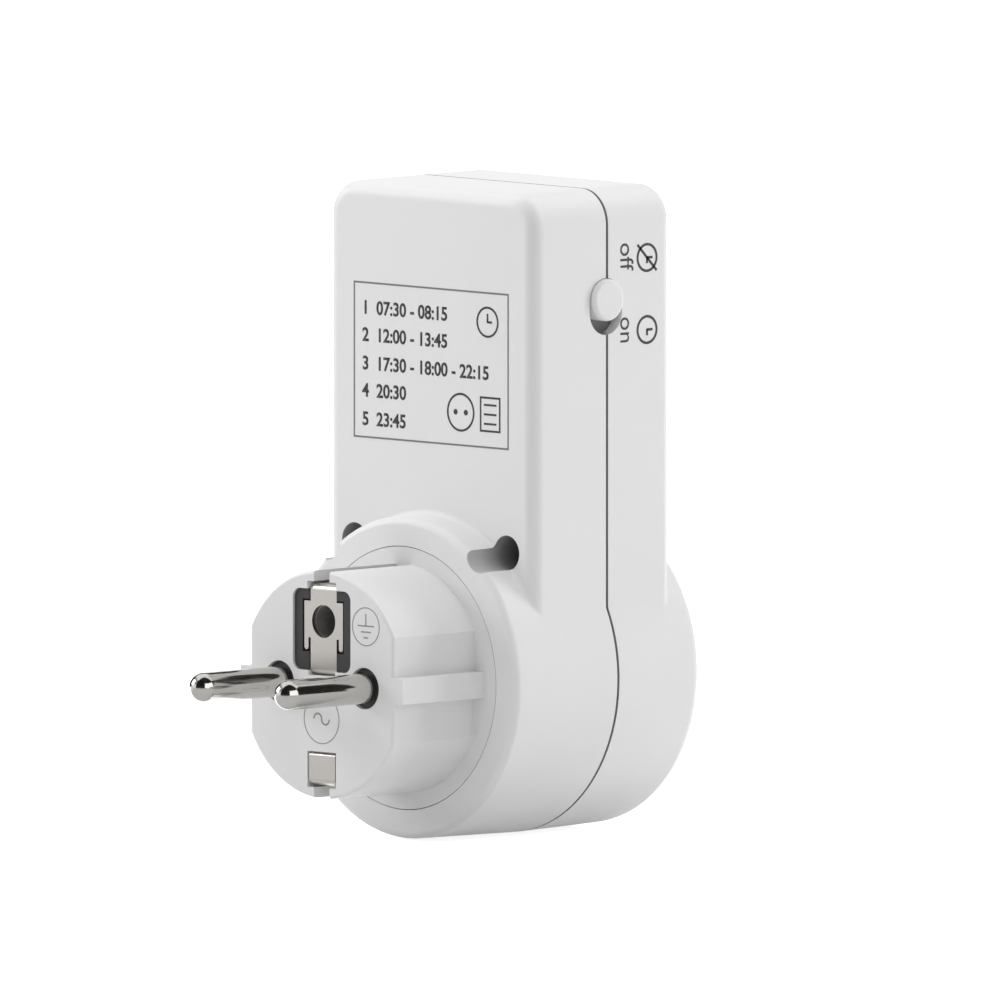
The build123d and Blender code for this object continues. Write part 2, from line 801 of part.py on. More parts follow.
def shutter():
    """Bar on a centre post: each paddle covers one pin hole and has a ramp to turn it."""
    thickness = (shutter_near, shutter_far)
    bar = slab(Rectangle(2 * pin_x, shutter_arm_width), *thickness)
    bar += rod(0, 0, shutter_hub_radius, *thickness)
    for x in pin_xs:
        bar += rod(x, 0, shutter_paddle_radius, *thickness)
    edge = shutter_paddle_radius
    corners = [(-shutter_far - cut_over, -edge), (-shutter_far - cut_over, edge), (-shutter_far, edge),
               (-shutter_far + shutter_ramp, -edge)]
    face = make_face(Polyline(*corners, close=True))
    ramp = across(face, pin_x - edge + shutter_ramp_start, pin_x + edge + cut_over)
    bar -= ramp
    bar -= Rot(0, 180, 0) * ramp
    return bar - rod(0, 0, shutter_post_radius + shutter_running, shutter_near - cut_over,
                     shutter_far + cut_over)


def shutter_spring():
    """Leaf that rests on the contact block's post and presses the shutter shut."""
    edge = shutter_arm_width / 2 + spring_sheet / 2 + seat_gap
    seat = block_post_z - block_post_radius - spring_sheet / 2 - seat_gap
    path = [(-pin_x / 2, seat), (pin_x / 3, seat), (pin_x / 2, edge), (pin_x / 3, edge)]
    near = (shutter_near + shutter_far - spring_width) / 2
    return slab(ribbon(path, spring_sheet, spring_sheet), near, near + spring_width)


def contact_block():
    """Moulding behind the outlet, with a chamber for each contact."""
    far = block_plate_depth + block_plate
    holder = rod(0, 0, block_plate_radius, block_plate_depth, far)
    for x in pin_xs:
        outer = Rectangle(2 * (chamber_half_x + chamber_wall), 2 * (chamber_half_z + chamber_wall))
        holder += slab(at(x, 0, outer), chamber_end, far)
        inner = Rectangle(2 * chamber_half_x, 2 * chamber_half_z)
        holder -= slab(at(x, 0, inner), chamber_end - cut_over, block_plate_depth)
        holder -= rod(x, 0, block_hole_radius, chamber_end - cut_over, far + cut_over)
    for z in (-block_post_z, block_post_z):
        holder += rod(0, z, block_post_radius, far - weld, cup_back - seat_gap)
    return holder


def outlet_contact(x):
    """Folded spring clip: two leaves pinch the pin and flare at their mouth."""
    half = contact_sheet / 2
    grip = pin_radius + half + seat_gap
    foot = chamber_half_x - contact_sheet
    base = chamber_end - half
    mouth = block_plate_depth - seat_gap
    waist = mouth - contact_flare
    right = [(foot, base), (grip, waist), (grip + contact_flare / 3, mouth)]
    left = [(-across_x, depth) for across_x, depth in reversed(right)]
    path = [(x + across_x, -depth) for across_x, depth in left + right]
    return extrude(ribbon(path, contact_sheet, half), amount=contact_half_height, both=True)


def outlet_earth_bracket():
    """U-shaped bracket behind and around the cup; its folded ends enter the recess."""
    arm = cup_outer_radius + earth_arm_gap + earth_sheet / 2
    touch = (earth_slot_far - earth_touch_set_back, recess_radius - earth_touch_entry)
    upper = [(earth_back_depth, arm), (earth_slot_far - earth_sheet, arm), touch,
             (earth_slot_near + earth_return_rise, recess_radius + earth_sheet)]
    lower = [(depth, -z) for depth, z in reversed(upper)]
    return side_strip(lower + upper, earth_sheet, earth_sheet, 0, 2 * earth_arm_half)


# ---- busbars ----
def pin_bar(x, depth):
    """Strip from a pin's stub, over the contact and up to the power board."""
    tail_end = power_board_front + bar_tail
    stub_depth = core_depth + pin_shoulder + seat_gap + bar_sheet / 2
    path = [(stub_depth, -bar_width / 2), (stub_depth, bar_leg_height), (depth, bar_leg_height),
            (depth, bar_entry_height), (tail_end, bar_entry_height)]
    bar = side_strip(path, bar_sheet, bar_sheet, x, bar_width)
    return bar - rod(x, 0, pin_stub_radius + pilot_gap, stub_depth - bar_sheet, stub_depth + bar_sheet)


def line_in_busbar():
    return pin_bar(pin_x, line_in_depth)


def neutral_busbar():
    half = bar_sheet / 2
    pad = block(-pin_x - bar_width / 2, -pin_x + bar_width / 2, -contact_half_height, bar_leg_height,
                bar_depth - half, bar_depth + half)
    return pin_bar(-pin_x, bar_depth) + pad


def line_out_busbar():
    half = bar_sheet / 2
    left = line_out_x - line_out_width / 2
    pad = block(left, pin_x + bar_width / 2, -contact_half_height, contact_half_height,
                bar_depth - half, bar_depth + half)
    tail_end = power_board_front + bar_tail
    path = [(bar_depth, 0), (bar_depth, bar_entry_height), (tail_end, bar_entry_height)]
    return pad + side_strip(path, bar_sheet, bar_sheet, line_out_x, line_out_width)


# ---- power board ----
def bar_slot(x, width):
    half = bar_sheet / 2 + assembly_gap
    half_width = width / 2 + assembly_gap
    return block(x - half_width, x + half_width, bar_entry_height - half, bar_entry_height + half,
                 power_board_depth - cut_over, power_board_front + cut_over)


def power_board():
    board = block(-board_half_width, board_half_width, power_board_low, power_board_high,
                  power_board_depth, power_board_front)
    board = chamfer(board.edges().filter_by(Axis.Y), board_corner)
    for side in (-1, 1):
        for z in board_boss_heights:
            board -= rod(side * board_boss_x, z, board_hole_radius, power_board_depth - cut_over,
                         power_board_front + cut_over)
    board -= bar_slot(pin_x, bar_width)
    board -= bar_slot(-pin_x, bar_width)
    return board - bar_slot(line_out_x, line_out_width)


def board_screw(x, z, seat, towards):
    """Small screw whose head lies on a board; towards is +1 for a shank that goes deeper."""
    top = seat - towards * board_screw_head
    end = seat + towards * (board_thickness + board_screw_grip)
    head = rod(x, z, board_screw_head_radius, *sorted((seat, top)))
    half_slot = board_screw_head / 2
    driver_slot = at(x, z, Rectangle(3 * board_screw_radius, board_screw_slot))
    head -= slab(driver_slot, *sorted((top - towards * half_slot, top + towards * half_slot)))
    return head + rod(x, z, board_screw_radius, *sorted((seat, end)))


def standing_box(x, z, size, foot):
    """Component of (width, height, rise) that stands on the power board."""
    width, height, rise = size
    solid = block(x - width / 2, x + width / 2, z - height / 2, z + height / 2, foot, foot + rise)
    return chamfer(solid.faces().sort_by(Axis.Y)[0].edges(), part_edge)


def smoothing_capacitor():
    can = rod(smoothing_capacitor_x, smoothing_capacitor_z, smoothing_capacitor_radius, power_board_front,
              power_board_front + smoothing_capacitor_length)
    return chamfer(can.faces().sort_by(Axis.Y)[0].edges(), part_edge)


def varistor():
    depth = power_board_front + varistor_radius + lead_rise
    disc = across(Pos(-depth, varistor_z) * Circle(varistor_radius), varistor_x - varistor_thickness / 2,
                  varistor_x + varistor_thickness / 2)
    disc = chamfer(disc.edges().filter_by(GeomType.CIRCLE), 1.5 * part_edge)
    for side in (-1, 1):
        lead_z = varistor_z + side * varistor_radius / 2
        disc += rod(varistor_x, lead_z, lead_radius, power_board_front, depth)
    return disc


def safety_resistor():
    depth = power_board_front + resistor_radius + lead_rise
    body = Pos(resistor_x, -depth, resistor_z) * Cylinder(resistor_radius, resistor_length)
    body = chamfer(body.edges().filter_by(GeomType.CIRCLE), part_edge)
    low = resistor_z - resistor_length / 2 - lead_rise
    high = resistor_z + resistor_length / 2 + lead_rise
    path = [(power_board_front, low), (depth, low), (depth, high), (power_board_front, high)]
    return body + side_strip(path, 2 * lead_radius, 2 * lead_radius, resistor_x, 2 * lead_radius)


def board_link():
    """Row of pins between the two boards, in a block at each end."""
    block_outline = at(link_x, link_z, Rectangle(link_pins * link_spacing, link_block))
    link = slab(block_outline, power_board_front, power_board_front + link_block)
    link += slab(block_outline, control_board_depth - link_block, control_board_depth)
    for step in range(link_pins):
        x = link_x + link_spacing * (step - (link_pins - 1) / 2)
        pin = at(x, link_z, Rectangle(link_pin_width, link_pin_width))
        link += slab(pin, power_board_front + link_block / 2, control_board_depth - link_block / 2)
    return link


# ---- control board, display and keys ----
def control_board():
    board = block(-board_half_width, board_half_width, control_board_low, control_board_high,
                  control_board_depth, control_board_front)
    board = chamfer(board.edges().filter_by(Axis.Y), board_corner)
    for side in (-1, 1):
        for z in control_boss_heights:
            board -= rod(side * control_boss_x, z, board_hole_radius, control_board_depth - cut_over,
                         control_board_front + cut_over)
    return board


def display_window():
    return slab(display_outline(window_gap), front_depth - display_window_thickness + fit_gap, front_depth)


def lcd_outline(grow):
    width = 2 * (lcd_half_width + grow)
    height = lcd_high - lcd_low + 2 * grow
    return at(0, (lcd_low + lcd_high) / 2, Rectangle(width, height))


def lcd_glass():
    near = control_board_front + lcd_standoff
    return slab(lcd_outline(0), near, near + lcd_thickness)


def lcd_frame():
    far = control_board_front + lcd_standoff + lcd_thickness
    frame = slab(lcd_outline(lcd_frame_wall + window_gap), control_board_front, far + lcd_frame_lip)
    frame -= slab(lcd_outline(window_gap), control_board_front - cut_over, far + fit_gap)
    return frame - slab(lcd_outline(-lcd_frame_wall), far - cut_over, far + 2 * lcd_frame_lip)


def zebra_strip():
    half_width = lcd_half_width - zebra_inset
    low = lcd_low + window_gap
    return block(-half_width, half_width, low, low + zebra_height, control_board_front,
                 control_board_front + lcd_standoff)


def key_mat():
    """Rubber sheet on the control board with one dome under each key."""
    rim = dome_radius + key_mat_rim
    near = control_board_front
    far = near + key_mat_thickness
    low = key_rows[-1] - rim
    mat = block(key_columns[0] - rim, key_columns[-1] + rim, low, key_rows[0] + rim, near, far)
    mat += block(reset_x - dome_radius, reset_x + dome_radius, reset_z - dome_radius, low + weld, near, far)
    places = [(x, z) for x in key_columns for z in key_rows] + [(reset_x, reset_z)]
    for x, z in places:
        dome = Cone(dome_radius, dome_top_radius, dome_height)
        mat += Pos(x, -far - dome_height / 2, z) * Rot(90, 0, 0) * dome
    return mat


def key_stack(cap, flange, x, z, cap_far):
    """Key from its rubber plunger to its cap: cap and flange are outlines."""
    flange_far = front_inner - seat_gap
    key = slab(at(x, z, cap), flange_far - key_flange / 2, cap_far)
    key = chamfer(key.faces().sort_by(Axis.Y)[0].edges(), key_edge)
    key += slab(at(x, z, flange), flange_far - key_flange, flange_far)
    plunger_near = control_board_front + key_mat_thickness + dome_height + key_travel + seat_gap
    return key + rod(x, z, key_plunger_radius, plunger_near, flange_far - key_flange / 2)


def key(x, z):
    return key_stack(key_outline(0), key_outline(key_flange_rim), x, z, front_depth + key_proud)


def key_reset():
    return key_stack(Circle(reset_radius), Circle(reset_radius + key_flange_rim), reset_x, reset_z,
                     front_depth - reset_sunk)


def indicator_lens():
    near = control_board_front + led_height + assembly_gap
    lens = rod(indicator_x, reset_z, indicator_radius, near, front_depth + indicator_proud)
    lens = chamfer(lens.faces().sort_by(Axis.Y)[0].edges(), key_edge)
    flange_far = front_inner - seat_gap
    return lens + rod(indicator_x, reset_z, indicator_radius + indicator_flange, flange_far - key_flange,
                      flange_far)


def indicator_led():
    body = rod(indicator_x, reset_z, indicator_radius, control_board_front, control_board_front + led_height)
    return chamfer(body.faces().sort_by(Axis.Y)[0].edges(), part_edge)


# ---- slide switch ----
def slide_switch_body():
    """Switch on legs; its slot takes the knob's stem, level with the middle of its travel."""
    height = (knob_height + knob_low) / 2
    left = switch_face
    right = switch_face + switch_thickness
    low = height - switch_half_height
    body = block(left, right, low, low + 2 * switch_half_height, seam_depth - switch_half_depth,
                 seam_depth + switch_half_depth)
    half = stem_side / 2 + stem_gap
    body -= block(left - cut_over, left + switch_socket, knob_low - half, knob_height + half,
                  seam_depth - half, seam_depth + half)
    x = (left + right) / 2
    for step in (-1, 0, 1):
        z = height + step * leg_pitch
        body += block(x - leg_side / 2, x + leg_side / 2, z - leg_side / 2, z + leg_side / 2,
                      seam_depth, control_board_depth)
    return body


def slider_knob():
    """Round knob with a shroud that hides the case's slot and a stem into the switch."""
    outer = -box_half_width - knob_proud
    shroud_outer = -box_half_width + case_wall + shroud_gap
    shroud_inner = shroud_outer + shroud_thickness
    place = Pos(-seam_depth, knob_height)
    knob = across(place * Circle(knob_radius), outer, shroud_outer)
    knob = fillet(knob.faces().sort_by(Axis.X)[0].edges(), knob_round)
    low = slot_low - shroud_overlap
    high = slot_high + shroud_overlap + knob_travel
    width = 2 * (knob_radius + knob_gap + shroud_overlap)
    shroud = Pos(-seam_depth, (low + high) / 2) * Rectangle(width, high - low)
    stem = place * Rectangle(stem_side, stem_side)
    knob += across(shroud, shroud_outer, shroud_inner)
    return knob + across(stem, shroud_outer, switch_face + switch_socket - stem_gap)


# ---- small components on the control board ----
def controller_chip():
    outline = at(chip_x, chip_z, Rectangle(chip_side, chip_side))
    return slab(outline, control_board_depth - chip_thickness, control_board_depth)


def crystal():
    can = Pos(chip_x, -(control_board_depth - crystal_radius), crystal_z) * Rot(0, 90, 0) \
        * Cylinder(crystal_radius, crystal_length)
    return chamfer(can.edges().filter_by(GeomType.CIRCLE), part_edge / 2)


def backup_battery():
    far = control_board_depth - battery_clip_sheet - seat_gap
    cell = rod(battery_x, battery_z, battery_radius, far - battery_height, far)
    return chamfer(cell.edges().filter_by(GeomType.CIRCLE), part_edge)


def battery_clip():
    """Strip under and over the cell, folded round its side."""
    sheet = battery_clip_sheet
    board_side = control_board_depth - sheet / 2
    open_side = control_board_depth - battery_height - 1.5 * sheet - 2 * seat_gap
    side_x = battery_x + battery_radius + sheet
    path = [(battery_x, -board_side), (side_x, -board_side), (side_x, -open_side), (battery_x, -open_side)]
    outline = ribbon(path, sheet, sheet)
    return Pos(0, 0, battery_z) * extrude(outline, amount=battery_clip_width / 2, both=True)


def build():
    nodes = {
        "rear_shell": rear_shell(),
        "front_shell": front_shell(),
        "case_screws": case_screws(),
        "plug_insert": plug_insert(),
        "contact_carrier": contact_carrier(),
        "line_pin": plug_pin(pin_x),
        "neutral_pin": plug_pin(-pin_x),
        "earth_strap": earth_strap(),
        "earth_clip_bottom": earth_clip_bottom(),
        "earth_receptacle": earth_receptacle(),
        "earth_bridge": earth_bridge(),
        "outlet_insert": outlet_insert(),
        "shutter": shutter(),
        "shutter_spring": shutter_spring(),
        "contact_block": contact_block(),
        "line_contact": outlet_contact(pin_x),
        "neutral_contact": outlet_contact(-pin_x),
        "outlet_earth_bracket": outlet_earth_bracket(),
        "line_in_busbar": line_in_busbar(),
        "line_out_busbar": line_out_busbar(),
        "neutral_busbar": neutral_busbar(),
        "power_board": power_board(),
        "relay": standing_box(relay_x, relay_z, (relay_width, relay_height, relay_rise), power_board_front),
        "supply_capacitor": standing_box(supply_capacitor_x, supply_capacitor_z, supply_capacitor_size,
                                         power_board_front),
        "rectifier": standing_box(rectifier_x, rectifier_z, rectifier_size, power_board_front),
        "smoothing_capacitor": smoothing_capacitor(),
        "varistor": varistor(),
        "safety_resistor": safety_resistor(),
        "board_link": board_link(),
        "control_board": control_board(),
        "controller_chip": controller_chip(),
        "crystal": crystal(),
        "backup_battery": backup_battery(),
        "battery_clip": battery_clip(),
        "display_window": display_window(),
        "lcd_glass": lcd_glass(),
        "lcd_frame": lcd_frame(),
        "zebra_strip": zebra_strip(),
        "key_mat": key_mat(),
        "key_reset": key_reset(),
        "indicator_lens": indicator_lens(),
        "indicator_led": indicator_led(),
        "slide_switch_body": slide_switch_body(),
        "slider_knob": slider_knob(),
    }
    nodes["power_board_screws"] = [board_screw(side * board_boss_x, z, power_board_front, -1)
                                   for side in (-1, 1) for z in board_boss_heights]
    nodes["control_board_screws"] = [board_screw(side * control_boss_x, z, control_board_depth, 1)
                                     for side in (-1, 1) for z in control_boss_heights]
    names = ("clock", "day", "program", "hour", "minute", "mode")
    places = [(x, z) for z in key_rows for x in key_columns]
    for name, (x, z) in zip(names, places):
        nodes["key_" + name] = key(x, z)
    return nodes


os.makedirs("parts", exist_ok=True)
for node, shape in build().items():
    solids = shape if isinstance(shape, list) else shape.solids()
    whole = solids[0] if len(solids) == 1 else Compound(children=list(solids))
    export_step(whole, "parts/" + node + ".step")
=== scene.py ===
import bmesh
import bpy
from math import cos, hypot, radians, sin
from mathutils import Matrix, Vector


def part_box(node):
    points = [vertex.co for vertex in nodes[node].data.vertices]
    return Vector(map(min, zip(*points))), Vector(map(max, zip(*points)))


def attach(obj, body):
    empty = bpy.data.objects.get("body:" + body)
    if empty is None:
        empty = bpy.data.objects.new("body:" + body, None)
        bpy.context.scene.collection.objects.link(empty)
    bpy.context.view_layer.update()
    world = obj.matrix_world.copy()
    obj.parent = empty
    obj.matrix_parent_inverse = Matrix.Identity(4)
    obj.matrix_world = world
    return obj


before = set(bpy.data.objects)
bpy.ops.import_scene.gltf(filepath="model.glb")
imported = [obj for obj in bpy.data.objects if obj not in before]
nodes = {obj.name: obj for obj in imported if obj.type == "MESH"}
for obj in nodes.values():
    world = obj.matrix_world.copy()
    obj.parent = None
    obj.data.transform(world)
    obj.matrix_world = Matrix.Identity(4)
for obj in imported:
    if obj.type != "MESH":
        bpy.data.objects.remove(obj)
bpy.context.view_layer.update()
mm = 0.001

# Row frame: the origin is the middle of the plug's face, +Y points along the pins, -Y to the
# display and the outlet, +Z up. Every print or mark is a thin piece of its own.

# ---- places read from the frame ----
floor_z = min(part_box(shell)[0].z for shell in ("rear_shell", "front_shell"))
glass_low, glass_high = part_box("lcd_glass")
knob_proud = 0.9 * mm
switch_side_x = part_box("slider_knob")[0].x + knob_proud
print_rise = 0.03 * mm
print_sink = 0.05 * mm


# ---- shader helpers ----
# The grain that spark erosion leaves in a mould: bumps per metre, and their depth.
spark_grain = 2200.0
spark_depth = 0.012 * mm


class Value:
    """A socket that takes part in sums: each operator adds a Math node."""
    def __init__(self, shader, socket):
        self.shader = shader
        self.socket = socket

    def math(self, operation, first, second):
        return self.shader.add("ShaderNodeMath", {"operation": operation}, {0: first, 1: second})

    def __add__(self, other):
        return self.math("ADD", self, other)

    def __radd__(self, other):
        return self.math("ADD", other, self)

    def __mul__(self, other):
        return self.math("MULTIPLY", self, other)

    def __rmul__(self, other):
        return self.math("MULTIPLY", other, self)


class Shader:
    """Nodes of a material or a world, whose surface node takes values and links."""
    def __init__(self, owner, surface="Principled BSDF"):
        owner.use_nodes = True
        self.owner = owner
        self.nodes = owner.node_tree.nodes
        self.links = owner.node_tree.links
        self.surface = self.nodes[surface]
        self.place = self.add("ShaderNodeTexCoord", {}, {}, output="Object")

    def feed(self, node, name, value):
        if isinstance(value, Value):
            self.links.new(value.socket, node.inputs[name])
        else:
            node.inputs[name].default_value = value

    def add(self, kind, settings, inputs, output=0):
        node = self.nodes.new(kind)
        for name, value in settings.items():
            setattr(node, name, value)
        for name, value in inputs.items():
            self.feed(node, name, value)
        return Value(self, node.outputs[output])

    def set(self, **values):
        for name, value in values.items():
            self.feed(self.surface, name.replace("_", " "), value)

    def noise(self, scale, detail=2.0, stretch=(1.0, 1.0, 1.0)):
        """Noise about 0.5 at this many cells per metre, stretched by a scale per axis."""
        place = self.add("ShaderNodeMapping", {}, {"Vector": self.place, "Scale": stretch})
        inputs = {"Vector": place, "Scale": scale, "Detail": detail}
        return self.add("ShaderNodeTexNoise", {}, inputs)

    def blend(self, factor, first, second):
        return self.add("ShaderNodeMix", {"data_type": "RGBA"},
                        {0: factor, 6: (*first, 1), 7: (*second, 1)}, output=2)

    def seen(self):
        """1 where the camera looks straight at it, or through glass or a reflection."""
        names = ("Is Camera Ray", "Is Glossy Ray", "Is Transmission Ray")
        camera, glossy, through = (self.add("ShaderNodeLightPath", {}, {}, output=name) for name in names)
        return camera + glossy + through

    def bump(self, height, distance, strength=1.0):
        normal = self.add("ShaderNodeBump", {}, {"Height": height, "Distance": distance,
                                                 "Strength": strength})
        self.set(Normal=normal)


def moulded(name, colour, roughness, grain=spark_grain, grain_depth=spark_depth, cloud=0.02):
    """Injection-moulded plastic: spark-eroded grain, faint flow clouds and uneven gloss."""
    shader = Shader(bpy.data.materials.new(name))
    fine = shader.noise(grain, detail=3.0)
    flow = shader.noise(60.0, detail=3.0)
    dark = tuple(c * (1 - cloud) for c in colour)
    light = tuple(min(1.0, c * (1 + cloud)) for c in colour)
    shader.set(Base_Color=shader.blend(flow, dark, light))
    shader.set(Roughness=roughness - 0.08 + 0.1 * flow + 0.06 * fine)
    shader.bump(fine, grain_depth)
    return shader.owner


def shaded_hole_plastic(name, mouth_colour, floor_colour, mouth_y, floor_y):
    """Moulded plastic with painted shade that greys from a hole's mouth to its floor."""
    shader = Shader(bpy.data.materials.new(name))
    along = shader.add("ShaderNodeSeparateXYZ", {}, {"Vector": shader.place}, output=1)
    depth = shader.add("ShaderNodeMapRange", {}, {"Value": along, "From Min": mouth_y, "From Max": floor_y})
    fine = shader.noise(spark_grain, detail=3.0)
    shader.set(Base_Color=shader.blend(depth, mouth_colour, floor_colour), Roughness=0.46 + 0.06 * fine)
    shader.bump(fine, spark_depth)
    return shader.owner


def plated(name, colour, roughness, stretch, streak=600.0, depth=0.002 * mm, metal=1.0):
    """Metal with fine lines from drawing or brushing; the stretch gives their direction."""
    shader = Shader(bpy.data.materials.new(name))
    lines = shader.noise(streak, detail=4.0, stretch=stretch)
    spots = shader.noise(180.0, detail=3.0)
    dark = tuple(c * 0.92 for c in colour)
    shader.set(Base_Color=shader.blend(spots, dark, colour), Metallic=metal)
    shader.set(Roughness=roughness - 0.04 + 0.05 * lines + 0.04 * spots)
    shader.bump(lines, depth)
    return shader.owner


def circuit_board(name, mask_colour, track_colour):
    """Solder mask over copper: straight tracks show through as a slightly paler grid."""
    shader = Shader(bpy.data.materials.new(name))
    split = shader.add("ShaderNodeSeparateXYZ", {}, {"Vector": shader.place}, output=0)
    bands = shader.add("ShaderNodeTexWave", {"wave_type": "BANDS", "bands_direction": "Z"},
                       {"Vector": shader.place, "Scale": 160.0, "Distortion": 3.0, "Detail": 1.0}, output=1)
    columns_per_metre = 300.0
    steps = shader.add("ShaderNodeMath", {"operation": "ROUND"}, {0: split * columns_per_metre})
    patch = shader.add("ShaderNodeTexWhiteNoise", {"noise_dimensions": "1D"}, {"W": steps})
    bare_share = 0.35
    tracks = shader.add("ShaderNodeMath", {"operation": "GREATER_THAN"}, {0: bands * patch, 1: bare_share})
    shader.set(Base_Color=shader.blend(tracks, mask_colour, track_colour))
    shader.set(Roughness=0.3 + 0.08 * tracks)
    shader.bump(tracks, 0.02 * mm, 0.5)
    return shader.owner


def clear_plastic(name):
    """Clear window with a faint haze; what is behind it shows through."""
    shader = Shader(bpy.data.materials.new(name))
    haze = shader.noise(400.0)
    shader.set(Base_Color=(0.9, 0.93, 0.93, 1), Roughness=0.03 + 0.04 * haze, Alpha=0.01 + 0.03 * haze)
    shader.bump(haze, 0.001 * mm)
    return shader.owner


def display_glass(name):
    """Reflective grey-green liquid crystal panel with a fine diffuser grain."""
    shader = Shader(bpy.data.materials.new(name))
    grain = shader.noise(6000.0, detail=1.0)
    sheen = shader.noise(50.0)
    shader.set(Base_Color=shader.blend(sheen, (0.30, 0.35, 0.28), (0.36, 0.41, 0.33)))
    shader.set(Roughness=0.22 + 0.12 * grain, Coat_Weight=0.3 + 0.2 * sheen)
    return shader.owner


def lens_plastic(name, colour):
    """Tinted plastic of a lamp, deeper in colour where it is thicker."""
    shader = Shader(bpy.data.materials.new(name))
    depth = shader.noise(900.0)
    dark = tuple(c * 0.75 for c in colour)
    shader.set(Base_Color=shader.blend(depth, dark, colour), Roughness=0.12 + 0.08 * depth)
    shader.set(Coat_Weight=0.6 + 0.2 * depth)
    return shader.owner


def printed_ink(name, colour):
    """Pad-printed ink: even, slightly mottled where it sits on the grain."""
    shader = Shader(bpy.data.materials.new(name))
    mottle = shader.noise(3000.0, detail=3.0)
    light = tuple(c + 0.03 for c in colour)
    shader.set(Base_Color=shader.blend(mottle, colour, light), Roughness=0.45 + 0.15 * mottle)
    shader.bump(mottle, 0.004 * mm)
    return shader.owner


# ---- finishes ----
case_white = moulded("case_white", (0.80, 0.80, 0.80), 0.46)
# The plug insert's white is darker than the case's: painted shade over the whole plug.
plug_shaded_white = moulded("plug_shaded_white", (0.77, 0.77, 0.77), 0.40)
outlet_white = moulded("outlet_white", (0.79, 0.79, 0.80), 0.30, grain_depth=0.006 * mm)
core_grey = moulded("core_grey", (0.030, 0.030, 0.032), 0.52, cloud=0.10)
shutter_grey = moulded("shutter_grey", (0.10, 0.10, 0.105), 0.48, cloud=0.06)
# Painted shade: the screw wells' white greys towards their floors.
well_painted_shade = shaded_hole_plastic("well_painted_shade", (0.52, 0.52, 0.52), (0.15, 0.15, 0.15), -21 * mm, -31 * mm)
# Painted shade: grey for the slider's plate, which lies in shade inside the slot.
slot_painted_shade = moulded("slot_painted_shade", (0.20, 0.20, 0.20), 0.5)
# Painted shade: grey for the floor of the seam groove between the shells.
seam_painted_shade = moulded("seam_painted_shade", (0.36, 0.36, 0.36), 0.5)
component_black = moulded("component_black", (0.018, 0.018, 0.020), 0.40, cloud=0.10)
sleeve_black = moulded("sleeve_black", (0.012, 0.012, 0.018), 0.25, cloud=0.12)
relay_blue = moulded("relay_blue", (0.02, 0.09, 0.36), 0.30, cloud=0.05)
film_yellow = moulded("film_yellow", (0.70, 0.45, 0.06), 0.28, cloud=0.05)
ceramic_blue = moulded("ceramic_blue", (0.04, 0.16, 0.40), 0.34, grain=900.0, cloud=0.08)
key_grey = moulded("key_grey", (0.30, 0.31, 0.33), 0.50, cloud=0.03)
dome_rubber = moulded("dome_rubber", (0.24, 0.24, 0.25), 0.62, cloud=0.05)
pin_nickel = plated("pin_nickel", (0.68, 0.665, 0.64), 0.12, stretch=(1.0, 0.06, 1.0))
strip_nickel = plated("strip_nickel", (0.67, 0.643, 0.61), 0.32, stretch=(1.0, 1.0, 0.05),
                      depth=0.006 * mm)
dull_tin = plated("dull_tin", (0.66, 0.65, 0.63), 0.45, stretch=(1.0, 0.1, 1.0), metal=0.8)
contact_brass = plated("contact_brass", (0.76, 0.58, 0.30), 0.28, stretch=(1.0, 1.0, 0.05))
screw_zinc = plated("screw_zinc", (0.52, 0.52, 0.54), 0.30, stretch=(1.0, 0.1, 1.0), streak=900.0)
can_steel = plated("can_steel", (0.72, 0.72, 0.74), 0.22, stretch=(1.0, 0.1, 1.0))
board_green = circuit_board("board_green", (0.01, 0.10, 0.04), (0.04, 0.22, 0.10))
window_clear = clear_plastic("window_clear")
panel_glass = display_glass("panel_glass")
lens_red = lens_plastic("lens_red", (0.55, 0.02, 0.015))
print_dark = printed_ink("print_dark", (0.045, 0.045, 0.048))
print_black = printed_ink("print_black", (0.018, 0.018, 0.020))
print_grey = printed_ink("print_grey", (0.16, 0.16, 0.165))
# Painted shade: the grey of the engraved symbols on the plug's face stands in for the engraved lines.
engraving_painted_shade = printed_ink("engraving_painted_shade", (0.26, 0.26, 0.26))
segment_dark = printed_ink("segment_dark", (0.02, 0.025, 0.02))
icon_white = printed_ink("icon_white", (0.78, 0.78, 0.78))

finishes = {
    case_white: ["rear_shell", "front_shell", "slider_knob"],
    plug_shaded_white: ["plug_insert"],
    outlet_white: ["outlet_insert"],
    core_grey: ["contact_carrier"],
    shutter_grey: ["shutter"],
    component_black: ["contact_block", "rectifier", "board_link", "controller_chip", "lcd_frame",
                      "slide_switch_body"],
    sleeve_black: ["smoothing_capacitor"],
    relay_blue: ["relay"],
    film_yellow: ["supply_capacitor", "safety_resistor"],
    ceramic_blue: ["varistor"],
    key_grey: ["key_reset", "key_clock", "key_day", "key_program", "key_hour", "key_minute", "key_mode"],
    dome_rubber: ["key_mat", "zebra_strip"],
    pin_nickel: ["line_pin", "neutral_pin"],
    strip_nickel: ["earth_strap", "earth_clip_bottom", "outlet_earth_bracket", "battery_clip"],
    dull_tin: ["earth_receptacle"],
    contact_brass: ["earth_bridge", "line_contact", "neutral_contact", "line_in_busbar",
                    "line_out_busbar", "neutral_busbar"],
    screw_zinc: ["case_screws", "power_board_screws", "control_board_screws", "shutter_spring"],
    can_steel: ["crystal", "backup_battery"],
    board_green: ["power_board", "control_board"],
    window_clear: ["display_window"],
    panel_glass: ["lcd_glass"],
    lens_red: ["indicator_lens", "indicator_led"],
}
for material, names in finishes.items():
    for name in names:
        node = nodes[name]
        node.data.materials.clear()
        node.data.materials.append(material)


def shade_faces(node, material, chosen):
    """Gives the faces for which chosen(centre) holds a further material."""
    data = nodes[node].data
    data.materials.append(material)
    for face in data.polygons:
        if chosen(face.center):
            face.material_index = len(data.materials) - 1
